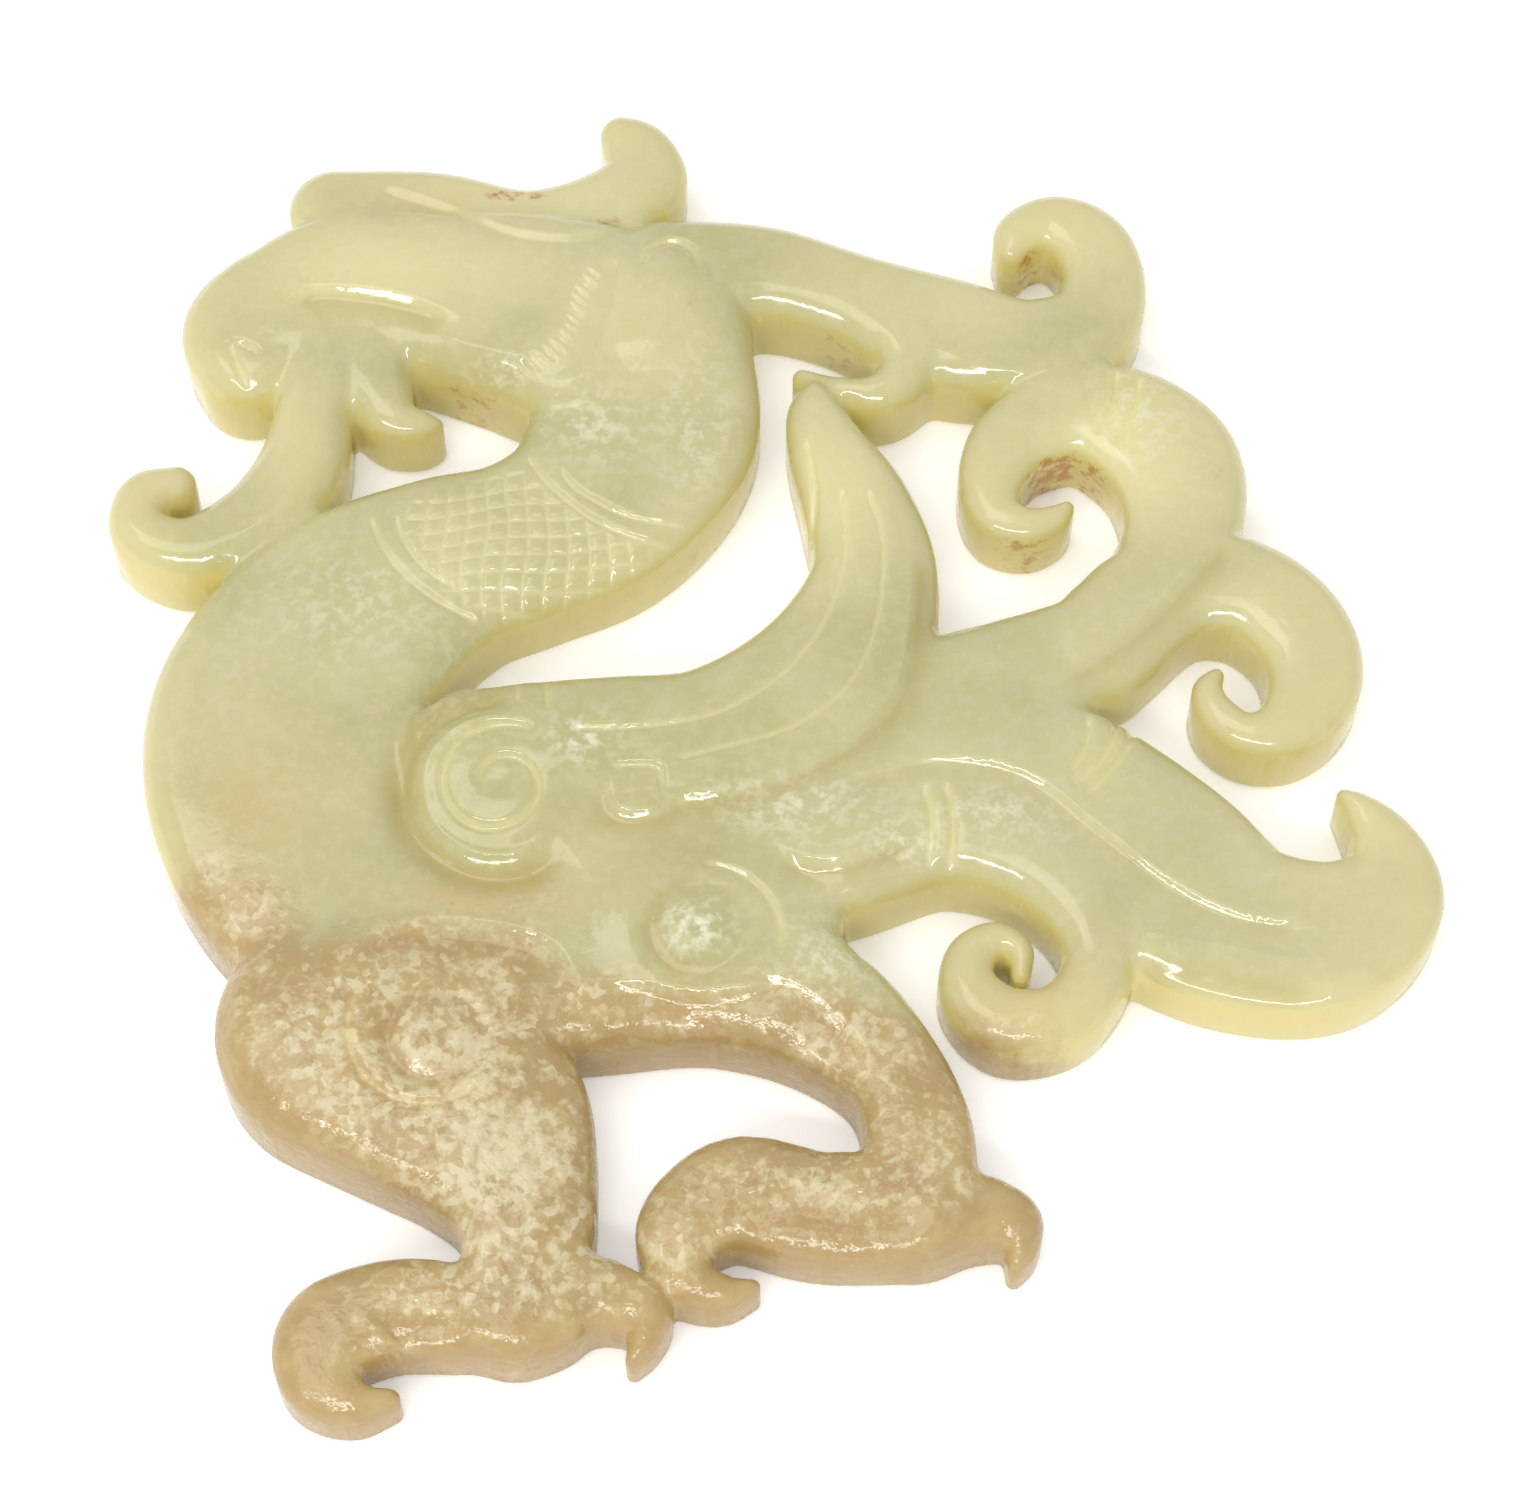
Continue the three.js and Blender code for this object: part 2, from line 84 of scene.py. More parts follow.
# Limbs of the beast: points of a curve as (x, y, half width), and where they differ from the slab's,
# the heights of the edge and the crown at the curve's start and end.
LIMBS = {
    "neck and chest": {
        "points": [(-5, 27.5, 4.2), (-5.7, 22.5, 5.3), (-6.3, 18, 6.1), (-8.9, 13.3, 5.5),
                   (-12.7, 10.9, 5), (-16.8, 9.4, 5.4), (-21.6, 6, 6.6), (-24.7, 0.5, 7),
                   (-24.5, -5, 6.8), (-21, -10.3, 6.7), (-13.5, -12.2, 7), (-6, -11.8, 6.8),
                   (-2, -11, 6.3)],
    },
    "body": {"points": [(-12, -6, 5), (-4, -6.5, 5), (4, -4.5, 6.5), (11, -1.5, 5.5)]},
    "wing": {
        "points": [(-14.8, -2.7, 3.9), (-7.5, -1.8, 3.7), (-3, -1.3, 3.7), (1.3, 0.6, 4.1),
                   (4.8, 4.3, 4.1), (6, 8.8, 3.3), (5.1, 13, 2.9), (3.6, 16.6, 2.1), (3, 18.6, 1.6),
                   (2.9, 19.8, 1)],
        "edge": (4.3, 3.6),
        "crown": (6, 5),
    },
    "wing scroll": {"points": [(-13.8, -4.8, 4.3), (-12.8, -5.1, 4.3)], "crown": (5.8, 5.8)},
    "head": {
        "points": [(-26.4, 25.6, 4.4), (-22.5, 27.6, 5), (-16.5, 26.9, 5.6), (-10.5, 25.8, 6.2),
                   (-6, 25, 5.2)],
        "crown": (5.4, 5.8),
    },
    "snout": {"points": [(-26.8, 26.1, 3.9), (-28, 24.6, 3.8), (-27.9, 22.6, 3.1)]},
    "cheek": {"points": [(-17.5, 24.5, 3), (-14, 23, 3), (-10.5, 21.5, 3.2)], "crown": (5.6, 6)},
    "jaw": {
        "points": [(-21.5, 23, 2.5), (-20.9, 20.6, 1.9), (-20, 18.9, 1.4), (-18.5, 18.4, 0.9),
                   (-17.6, 18.5, 0.4)],
        "crown": (5, 4),
    },
    "beard": {
        "points": [(-23.8, 23, 2.4), (-24.3, 19, 2.1), (-24.8, 15.5, 2.4), (-27.2, 11.9, 2.3),
                   (-30.6, 10.3, 1.9), (-33.1, 11.5, 1.6), (-33, 13.6, 1.5), (-31.4, 14.4, 1.1)],
        "crown": (5.2, 4.6),
    },
    "crest": {
        "points": [(-23.8, 32.9, 2.6), (-18.5, 33.2, 2.2), (-13, 32.4, 1.7), (-8.8, 33.2, 2.3),
                   (-6.6, 35, 2.4), (-7, 37.2, 1.9), (-7.9, 38.2, 1.2)],
        "crown": (4.9, 4.4),
    },
    "mane": {
        "points": [(-5, 28, 4), (0, 28.4, 3.1), (5, 26.8, 2.8), (10.2, 24.4, 3.6), (14.5, 23.7, 2.9),
                   (18, 25, 2.6), (19, 28, 2.3), (18.2, 30.8, 2.2), (16.3, 32, 1.8), (14.4, 31.2, 1.4),
                   (13.9, 29.9, 0.8)],
        "crown": (5.2, 4.4),
    },
    "mane lobe": {
        "points": [(8, 24, 2.2), (8, 21.8, 1.6), (6.4, 20.3, 1.2), (4, 20.6, 0.8), (2.2, 21.5, 0.5)],
        "crown": (5, 4.2),
    },
    "belly": {
        "points": [(-9, -15, 4), (-2, -14.8, 3.9), (3, -16.7, 3.4), (6.5, -20.2, 2.6), (7.7, -23.5, 2.7),
                   (7.5, -27, 3)],
        "crown": (4.8, 4.6),
    },
    "hind haunch": {"points": [(-4.4, -12.2, 5), (-1.6, -13.6, 4.7), (2.4, -16, 3.3)], "crown": (5.8, 5.2)},
    "hind toe": {
        "points": [(7.5, -27.3, 3), (3, -27.4, 2.9), (-1.4, -26.5, 2.8), (-4, -28.6, 2.1),
                   (-3.6, -30.8, 1.4), (-1.9, -31.6, 0.9), (-0.4, -31.3, 0.4)],
        "edge": (3.3, 2.6),
        "crown": (4.6, 3.4),
    },
    "hind spur": {
        "points": [(8, -27.4, 2.5), (10.9, -27.5, 1.8), (12.4, -28, 1.3), (12.6, -29.3, 0.8),
                   (12.3, -30.2, 0.4)],
        "edge": (3.3, 2.6),
        "crown": (4.4, 3.2),
    },
    "front leg": {
        "points": [(-20.2, -17.9, 6.9), (-16.6, -20.2, 6.4), (-13.5, -23.1, 5.2), (-11.8, -26.3, 3.8),
                   (-11.3, -29, 3.2), (-11.8, -32.6, 2.8)],
        "crown": (5.8, 4.5),
    },
    "front toe": {
        "points": [(-10.5, -32.3, 2.6), (-14.5, -32.6, 2.4), (-18, -32.6, 2.5), (-20.7, -33.8, 2.5),
                   (-21, -35.9, 1.9), (-19.4, -37.2, 1.1), (-17.6, -37, 0.5)],
        "edge": (3.3, 2.6),
        "crown": (4.5, 3.4),
    },
    "front spur": {
        "points": [(-9.8, -31.6, 2.2), (-7.2, -31.9, 1.7), (-5.6, -32.6, 1.35), (-5.6, -34, 0.8),
                   (-6.1, -35, 0.4)],
        "edge": (3.3, 2.6),
        "crown": (4.4, 3.2),
    },
    "tail spiral": {
        "points": [(8, 0, 4.6), (13.5, 2.3, 3.6), (18.8, 5.6, 2.8), (22.4, 11.3, 3.1), (21.9, 16.6, 3.7),
                   (17.8, 19.4, 3.1), (13.8, 17.7, 2.3), (12.3, 14.6, 1.7), (12.7, 12.6, 1.4),
                   (14.3, 11.9, 1.1), (15.7, 12.4, 0.8), (16.4, 13.1, 0.4)],
        "crown": (5.2, 4.2),
    },
    "tail curl": {
        "points": [(17.5, 4.2, 3.2), (22, 8.2, 3.2), (25.8, 7.8, 2.9), (28.5, 5, 2.7), (28.8, 1.8, 2.4),
                   (27.2, -0.6, 1.7), (25.2, -1, 1.2), (23.7, 0.2, 1.1), (23.3, 1.7, 0.8),
                   (23.8, 2.6, 0.4)],
        "crown": (5.2, 4.2),
    },
    "tail hook": {
        "points": [(9, -1.5, 5.5), (14.5, -4.3, 5.4), (19.7, -8.7, 5.6), (24, -12, 4.7),
                   (28.5, -12.6, 4.1), (31.8, -10.4, 2.8), (31.9, -7.6, 1.8), (30.8, -5.6, 1),
                   (29.9, -4.7, 0.4)],
        "crown": (5, 4.2),
    },
    "tail scroll": {
        "points": [(4, -7.5, 4), (9, -6.2, 3.6), (13.6, -8, 2.8), (16.6, -11.6, 2.2), (16.9, -14.5, 1.8),
                   (15, -17.1, 1.7), (12.2, -17.4, 1.8), (10.4, -15.6, 1.5), (10.6, -13.7, 1.2),
                   (11.9, -12.9, 0.9), (13, -13.6, 0.7), (13, -15, 0.4)],
        "crown": (5.4, 4.2),
    },
}

# Bevels: lines with the ground cut away on their right-hand side, as (drop, slope width, reach of the hollow
# beyond it, (x, y) points)
BEVELS = {
    "under the crest": (0.24, 0.5, 0.9, [(-21.4, 33.9), (-18.5, 32.8), (-16, 31.5), (-14, 30.3),
                                         (-12, 29.8), (-9.5, 29.9), (-7.8, 31.1), (-6.3, 32)]),
    "brow": (0.4, 0.65, 2.2, [(-26.4, 24.6), (-25, 26.1), (-22, 26.1), (-19, 25.4), (-16, 23.8)]),
    "upper lip": (0.3, 1, 1.5, [(-18.6, 23.5), (-16.4, 22.4), (-14, 21.5), (-12.5, 21.1), (-11.4, 20.3)]),
    "wing edge": (0.42, 0.6, 1.6, [(-7.7, -4.3), (-7.2, -6.2), (-5.5, -6.3), (-4.4, -5.6), (-2, -5.2),
                                   (1.3, -4), (4.5, -2.1), (6.8, 0.6), (7.6, 4), (8, 9.5)]),
    "wing scroll": (0.7, 1.1, 1.3, [(-12.2, -1.4), (-14.3, -1.5), (-16.2, -2.7), (-17.2, -5),
                                    (-16.4, -7.4), (-14.2, -8.9), (-12, -8.8), (-10.6, -7.6)]),
    "tail divide": (0.28, 0.35, 1.6, [(3.5, -4.8), (8, -3.4), (11, -3.4), (14, -4.3), (17, -7),
                                      (21, -10.4), (24, -12), (28, -12.6)]),
    "thigh fold": (0.42, 0.65, 1.2, [(0.6, -8.2), (2.5, -9.2), (4, -9.2), (6, -8.4), (8.2, -7.6)]),
    "tail spiral root": (0.4, 0.7, 1.5, [(14.5, 1.4), (17.5, 3.2), (20.5, 5.8), (23.6, 9.6), (24.8, 11)]),
    "front haunch": (0.45, 1, 1.6, [(-20.8, -14.3), (-18, -12.8), (-15.5, -12.6), (-12.5, -13),
                                    (-10.2, -14), (-8.8, -16.2)]),
    "belly": (0.34, 0.65, 2, [(-8.8, -16.1), (-6, -16.1), (-3, -16.6), (-0.5, -16.4), (0.3, -15.9),
                              (1.6, -16.2), (4.4, -18.4), (5.8, -21)]),
    "mane lower edge": (0.2, 2.0, 0.8, [(8.8, 22.8), (12, 21.5), (15, 21.3), (18, 21.9), (20.4, 23.2)]),
    "hind toe": (0.4, 1.6, 0.8, [(-2.2, -28.4), (-1.3, -27.3), (0.4, -26.7), (2.2, -26.6), (4.8, -27.1),
                                 (8.2, -26.9)]),
    "front toe": (0.4, 1.5, 0.8, [(-19.1, -34.2), (-18.7, -33.2), (-17.6, -32.7), (-16.3, -32.4),
                                  (-13.6, -32.3)]),
    "hook": (0.35, 1.6, 1.2, [(18.4, -12.9), (20.5, -13.4), (23, -13.8), (25.4, -14.4), (28.5, -14.6)]),
}
# Round hollows about a knob on each haunch: centre, radius of the ring's bottom, half width, depth, and the
# direction in degrees where the ring is deepest
RINGS = {
    "front haunch": ((-16.1, -19.2), 2.3, 0.6, 0.55, 200),
    "hind haunch": ((-3.2, -13.3), 2.3, 0.75, 0.45, 190),
}
RING_SHALLOWEST = 0.45  # depth on the ring's far side, as a share of its deepest
# Engraved coils: centre, outer and inner radius, starting direction in degrees and turns
COILS = {
    "wing scroll": ((-13.3, -5.2), 3.5, 1, 60, 1.35),
    "front haunch": ((-16.1, -19.2), 4.4, 3.4, 150, 0.45),
    "hind haunch": ((-3.2, -13.3), 4.2, 3.6, 340, 0.3),
}
COIL_POINTS_PER_TURN = 24

# Engraved lines: half width and depth of the cut, and (x, y) points
WIDE_CUT = (0.6, 0.2)
WIDE_LINES = {
    "behind the cheek": [(-12.4, 19.8), (-9.8, 20.9), (-8.6, 23), (-8.2, 25.5), (-8.2, 28)],
}
BOLD_CUT = (0.22, 0.36)
BOLD_LINES = {
    "nostril, top": [(-28.9, 22.7), (-28, 22.4), (-27.1, 21.8)],
    "nostril, side": [(-28.9, 22.7), (-28.5, 21.4), (-27.7, 20)],
    "scroll strap, front": [(8.2, -4.8), (8.6, -7), (8.4, -9.4)],
    "scroll strap, back": [(9.3, -4.7), (9.7, -7), (9.5, -9.6)],
    "hook strap, front": [(16.9, -0.4), (16.7, -2.2), (15.6, -4.4)],
    "hook strap, middle": [(18.2, 1), (18.3, -1), (17.6, -3), (15.9, -5)],
    "hook strap, back": [(19.4, 0), (19, -2), (17.9, -4), (16.4, -5.6)],
    "spiral strap, front": [(19.3, 21.4), (19, 19), (18, 17)],
    "spiral strap, back": [(20.6, 21), (20.1, 18.6), (18.9, 16.3)],
    "ear": [(-6.6, 27.6), (-6.1, 29), (-4.8, 29.5), (-3.8, 28.9), (-3.5, 27.4)],
}
FINE_CUT = (0.17, 0.26)
FINE_LINES = {
    "neck band, back, outer": [(-12.6, 15.4), (-11.6, 13.7), (-10.5, 12.5), (-9, 11.2), (-7.5, 10.4),
                               (-6, 10), (-4.6, 10)],
    "neck band, back, inner": [(-10.8, 14.4), (-10, 13.2), (-8.5, 12.1), (-7.2, 11.4), (-5.8, 11.1),
                               (-4, 11.1)],
    "neck band, front, outer": [(-20.7, 11.4), (-20, 9.5), (-18.8, 7.7), (-16.6, 5.9), (-14.6, 5)],
    "neck band, front, inner": [(-19.4, 11.4), (-18.9, 9.9), (-17.8, 8.2), (-16, 6.8)],
    "feather, upper": [(-10, -2.1), (-6, -1.9), (-2, -0.9), (1.4, 1.7), (3.4, 5), (4.4, 9), (4.2, 13)],
    "feather, lower": [(-4.6, -3.7), (-2, -3), (2, -1.5), (4.4, 0.7), (5.8, 3.8), (6.4, 9.5), (5.6, 13)],
    "feather tip, left": [(2.6, 9.5), (2.9, 13), (2.5, 16.5)],
    "feather step": [(-8, -4.1), (-5.2, -4.2), (-5.1, -5.4)],
    "wing strap, front": [(-12.6, 1.3), (-12.4, -0.8)],
    "wing strap, back": [(-11.2, 1.4), (-10.9, -1.2)],
}

# Scale pattern on the neck: two families of lines inside a patch
SCALE_PITCH = (1.08, 1.0)
SCALE_CUT = (0.15, 0.2)
SCALE_WAVER = 0.16  # how far the lines waver
SCALE_WAVES = ((0.35, 0.9), (0.8, -0.3))  # radians per mm along x and y of each family's waver
SCALE_LEAN = 0.12  # slope of the second family
SCALE_SOFTNESS = 0.35  # blur radius of the patch's border
SCALE_PATCH = [(-19.3, 11.8), (-15, 13.6), (-13, 14.4), (-11, 12.6), (-8.8, 10.7), (-5.4, 9.6), (-8, 7.4),
               (-12, 5.6), (-14.6, 5.2), (-17, 7)]

# Ruff of short strokes round the cheek: an arc of places, and the strokes' direction, number, length, cut and
# the spacing of points along them
RUFF_ARC = [(-9.2, 26.8), (-9.9, 25.2), (-10.3, 23.3), (-11.1, 21.7), (-12.6, 20.5)]
RUFF_DIRECTION = math.radians(-48)
RUFF_STROKES = 16
RUFF_LENGTH = 1.5
RUFF_CUT = (0.13, 0.2)
RUFF_SPACING = 0.2

# Weathered tan stone of the legs and feet, as a patch of the plan
WEATHERED_PATCH = [(-36, -10.5), (-27, -9.5), (-24, -12.5), (-21, -14), (-18, -12.8), (-12.5, -13),
                   (-9.5, -14.6), (-8.5, -16.6), (0, -17), (3, -16.4), (7, -17.5), (16, -19), (16, -40),
                   (-36, -40)]
# Frosty white patches: middle, half sizes and strength
FROST = {
    "hind knob": ((-3.2, -13.3), (1.5, 1.3), 1),
    "front knob": ((-16.1, -19.2), (1.4, 1.3), 0.9),
    "beside the wing scroll": ((-9.2, -2.6), (1.5, 1.3), 0.8),
    "under the wing": ((1.5, -6), (3.5, 1.5), 0.7),
    "hind thigh": ((3.5, -15.2), (2.2, 2.2), 0.6),
    "belly": ((-5.5, -17.3), (1.3, 0.6), 0.7),
    "scroll trunk": ((7, -8.2), (2, 1.1), 0.6),
    "tail trunk": ((12, -6.6), (3, 1.4), 0.5),
    "upper lip": ((-14.8, 20.6), (2.2, 0.7), 0.8),
    "throat": ((-9, 17.2), (2.4, 2.2), 0.5),
    "shoulder": ((-21, 6), (4.5, 3), 0.3),
    "chest": ((-15.5, 0.5), (1.5, 4), 0.3),
    "lower neck": ((-3.5, 17), (1.8, 4), 0.4),
    "spiral": ((20.5, 18), (2.2, 3), 0.5),
}
# Brown stains on the face and on the upright sides, patches of painted light where the upper parts and thin
# ends are painted lighter, warm parts of the stone and the parts of the weathered stone that are thickest
# with flakes, in the same form
FACE_STAINS = {
    "crest": ((-13.8, 33), (1.8, 0.45), 0.9),
    "crest root": ((-8.7, 31.2), (0.9, 0.8), 0.9),
    "crest front": ((-21, 33), (0.5, 0.4), 0.5),
    "mouth": ((-17, 20.7), (1.3, 0.35), 0.6),
    "neck": ((-3.8, 25), (0.4, 0.8), 0.5),
    "over the front haunch": ((-15, -11.6), (3.5, 0.8), 0.35),
}
SIDE_STAINS = {
    "mouth": ((-16, 20), (2.6, 1.2), 0.5),
    "spiral pit": ((16.2, 15.6), (2.6, 1.6), 1),
    "spiral tip": ((14, 10.8), (2, 1), 0.5),
    "mane pit": ((15.2, 29.2), (1.3, 1.2), 0.8),
    "mane underside": ((3, 23.6), (3, 1.2), 0.5),
    "tail scroll": ((14, -18.6), (2.5, 0.8), 0.35),
}
# Painted light: lighter patches on the upper parts and thin ends of the carving
PAINTED_LIGHT = {
    "snout and brow": ((-21, 27.5), (9, 4), 0.9),
    "cheek and neck": ((-7, 23), (6, 5), 0.5),
    "mane": ((9, 26), (8, 4), 0.5),
    "mane scroll": ((17, 29), (4, 4), 0.6),
    "spiral": ((19.5, 15.5), (6, 6), 1),
    "curl": ((26, 5), (4, 5), 0.6),
    "hook end": ((30, -8), (4, 5), 0.5),
    "beard": ((-25, 16), (3, 5), 0.6),
    "wing tip": ((4, 14), (3, 5), 0.7),
    "crest": ((-13, 33.5), (8, 2.5), 0.7),
}
FLAKED = {
    "front haunch": ((-16, -21), (6, 5), 0.7),
    "front shank": ((-12.3, -27), (4, 4), 1),
    "front foot": ((-12, -32), (4, 1.3), 0.7),
    "hind haunch": ((4, -18), (3, 2.5), 0.5),
    "hind foot": ((4, -26.6), (4, 1.3), 0.5),
}
BLUSH = {
    "lower chest": ((-26, -6.5), (4, 4.5), 0.6),
    "over the front haunch": ((-14, -11.3), (5, 1.3), 0.7),
    "belly": ((-3, -17.5), (7, 1.6), 0.5),
    "crest": ((-18.5, 32.2), (4.5, 1.6), 0.5),
    "beard curl": ((-32, 12.5), (2.5, 2), 0.4),
    "tail scroll": ((13.5, -17.5), (4, 3.5), 0.8),
    "under the wing root": ((-7.5, -9), (4.5, 2.5), 0.4),
}


def curve_through(points, spacing=SPINE_STEP):
    """Points every spacing mm or so along a centripetal Catmull-Rom curve."""
    knots = np.array(points, float)
    padded = np.vstack([2 * knots[0] - knots[1], knots, 2 * knots[-1] - knots[-2]])
    spans = []
    for i in range(1, len(padded) - 2):
        four = padded[i - 1:i + 3]
        gaps = np.maximum(np.linalg.norm(np.diff(four, axis=0), axis=1), TINY)
        t = np.concatenate([[0], np.cumsum(np.sqrt(gaps))])
        count = max(2, math.ceil(np.hypot(*(four[2] - four[1])[:2]) / spacing))
        u = np.linspace(t[1], t[2], count, endpoint=False)[:, None]

        def mix(a, b, start, end):
            return ((end - u) * a + (u - start) * b) / (end - start)

        first = [mix(four[k], four[k + 1], t[k], t[k + 1]) for k in range(3)]
        second = [mix(first[k], first[k + 1], t[k], t[k + 2]) for k in range(2)]
        spans.append(mix(second[0], second[1], t[1], t[2]))
    return np.vstack(spans + [knots[-1:]])


# Plan grid
xs = np.arange(GRID_BOX[0], GRID_BOX[1], GRID_STEP)
ys = np.arange(GRID_BOX[2], GRID_BOX[3], GRID_STEP)
grid_x, grid_y = np.meshgrid(xs, ys)


def blur(field, radius):
    """Gaussian blur of a grid field, radius in mm."""
    fy = np.fft.fftfreq(field.shape[0], GRID_STEP)[:, None]
    fx = np.fft.rfftfreq(field.shape[1], GRID_STEP)[None, :]
    transfer = np.exp(-2 * (math.pi * radius) ** 2 * (fx ** 2 + fy ** 2))
    return np.fft.irfft2(np.fft.rfft2(field) * transfer, field.shape)


def near_segment(a, b, reach):
    """Grid window round a segment, with each point's distance to it and place along it."""
    left, right = np.searchsorted(xs, [min(a[0], b[0]) - reach, max(a[0], b[0]) + reach])
    low, high = np.searchsorted(ys, [min(a[1], b[1]) - reach, max(a[1], b[1]) + reach])
    window = np.s_[low:high, left:right]
    x, y = grid_x[window], grid_y[window]
    dx, dy = b[0] - a[0], b[1] - a[1]
    along = np.clip(((x - a[0]) * dx + (y - a[1]) * dy) / (dx * dx + dy * dy + TINY), 0, 1)
    distance = np.hypot(x - a[0] - along * dx, y - a[1] - along * dy)
    return window, distance, along


def limb_fields(limb):
    """Distance outside a limb's outline and height of its top, over the whole grid."""
    spine = curve_through(limb["points"])
    edge = np.linspace(*limb.get("edge", (EDGE, EDGE)), len(spine))
    crown = np.linspace(*limb.get("crown", (CROWN, CROWN)), len(spine))
    outside = np.full(grid_x.shape, FAR)
    height = np.zeros(grid_x.shape)
    for i in range(len(spine) - 1):
        a, b = spine[i], spine[i + 1]
        window, distance, along = near_segment(a, b, max(a[2], b[2]) + LIMB_MARGIN)
        half = a[2] + along * (b[2] - a[2])
        low = edge[i] + along * (edge[i + 1] - edge[i])
        high = crown[i] + along * (crown[i + 1] - crown[i])
        share = np.minimum(distance / half, 1)
        arch = (1 - share ** LIMB_ARCH[0]) ** LIMB_ARCH[1]
        low = np.minimum(low + CHAMFER[1], high)
        top = np.where(distance < half, low + (high - low) * arch, 0)
        outside[window] = np.minimum(outside[window], distance - half)
        height[window] = np.maximum(height[window], top)
    return outside, height


def path_field(points, reach, end_length, spacing=SPINE_STEP):
    """Distance to a line, the side of it (+1 left, -1 right) and the fade at its ends, over the grid."""
    path = curve_through(points, spacing)
    length = np.concatenate([[0], np.cumsum(np.hypot(*np.diff(path[:, :2], axis=0).T))])
    nearest = np.full(grid_x.shape, np.inf)
    side = np.ones(grid_x.shape)
    fade = np.zeros(grid_x.shape)
    for i in range(len(path) - 1):
        a, b = path[i], path[i + 1]
        window, distance, along = near_segment(a, b, PATH_MARGIN * reach)
        closer = distance < nearest[window]
        left = (b[0] - a[0]) * (grid_y[window] - a[1]) - (b[1] - a[1]) * (grid_x[window] - a[0])
        place = length[i] + along * (length[i + 1] - length[i])
        end_fade = np.clip(np.minimum(place, length[-1] - place) / end_length, 0, 1)
        nearest[window] = np.where(closer, distance, nearest[window])
        side[window] = np.where(closer, np.sign(left), side[window])
        fade[window] = np.where(closer, end_fade, fade[window])
    return nearest, side, fade


def line_field(points, half_width, spacing=SPINE_STEP):
    """How strongly each grid point lies on a line: 1 on it, fading to 0 beside it and at its ends."""
    distance, _, fade = path_field(points, half_width, LINE_FADE, spacing)
    return fade * np.exp(-(distance / half_width) ** 2)


def bevel_field(points, slope, reach):
    """0 left of a line, rising to 1 across the slope on its right, then easing back to 0 over the reach.

    The line itself stands a little proud, as a crisp lip.
    """
    distance, side, fade = path_field(points, slope + reach, BEVEL_FADE)
    beyond = np.maximum(distance - slope, 0)
    ramp = np.minimum(distance / slope, 1) * np.exp(-(beyond / reach) ** BEVEL_EASE)
    lip = LIP[1] * np.exp(-(distance / LIP[0]) ** 2)
    return fade * (np.where(side < 0, ramp, 0) - lip)


def coil_points(centre, outer, inner, start, turns):
    """Points of a coil from its outer end inwards."""
    t = np.linspace(0, 1, round(COIL_POINTS_PER_TURN * turns))
    angle = math.radians(start) + 2 * math.pi * turns * t
    radius = outer + (inner - outer) * t
    return np.column_stack([centre[0] + radius * np.cos(angle), centre[1] + radius * np.sin(angle)])


def inside_polygon(points):
    """Grid mask of a polygon."""
    inside = np.zeros(grid_x.shape, bool)
    for (x0, y0), (x1, y1) in zip(points, points[1:] + points[:1]):
        crosses = (y0 > grid_y) != (y1 > grid_y)
        at = x0 + (grid_y - y0) * (x1 - x0) / (y1 - y0 if y1 != y0 else TINY)
        inside ^= crosses & (grid_x < at)
    return inside


def spots(table):
    """Soft oval spots."""
    strength = np.zeros(grid_x.shape)
    for (x, y), (half_x, half_y), depth in table.values():
        spot = np.exp(-((grid_x - x) / half_x) ** 2 - ((grid_y - y) / half_y) ** 2)
        strength = np.maximum(strength, depth * spot)
    return strength


def scale_lines():
    """Two crossing families of slightly wavering lines inside the neck's patch."""
    waver_x, waver_y = [SCALE_WAVER * np.sin(a * grid_x + b * grid_y) for a, b in SCALE_WAVES]
    places = (grid_x + waver_x, grid_y + (waver_y - SCALE_LEAN * grid_x))
    lines = np.zeros(grid_x.shape)
    for place, pitch in zip(places, SCALE_PITCH):
        distance = np.abs((place / pitch) % 1 - 0.5) * pitch
        lines = np.maximum(lines, np.exp(-(distance / SCALE_CUT[0]) ** 2))
    patch = np.clip(blur(inside_polygon(SCALE_PATCH).astype(float), SCALE_SOFTNESS), 0, 1)
    return lines * patch


def ruff_lines():
    """Short strokes side by side along the ruff's arc."""
    arc = curve_through(RUFF_ARC)
    places = arc[np.linspace(0, len(arc) - 1, RUFF_STROKES).round().astype(int)]
    strength = np.zeros(grid_x.shape)
    half_stroke = RUFF_LENGTH / 2 * np.array([math.cos(RUFF_DIRECTION), math.sin(RUFF_DIRECTION)])
    for place in places:
        ends = [place - half_stroke, place, place + half_stroke]
        strength = np.maximum(strength, line_field(ends, RUFF_CUT[0], RUFF_SPACING))
    return strength


# Outline and rounded form of the limbs
outside = np.full(grid_x.shape, FAR)
face = np.zeros(grid_x.shape)
for limb in LIMBS.values():
    limb_outside, limb_height = limb_fields(limb)
    blend = np.maximum(FILLET - np.abs(outside - limb_outside), 0) / FILLET
    outside = np.minimum(outside, limb_outside) - blend ** 2 * FILLET / 4
    face = np.maximum(face, limb_height)
outside = blur(outside, OUTLINE_SOFTNESS)
stone = (outside < 0).astype(float)
stone_share = np.maximum(blur(stone, FACE_SOFTNESS), LEAST_STONE)
face = blur(np.maximum(face, FACE_LOWEST) * stone, FACE_SOFTNESS) / stone_share

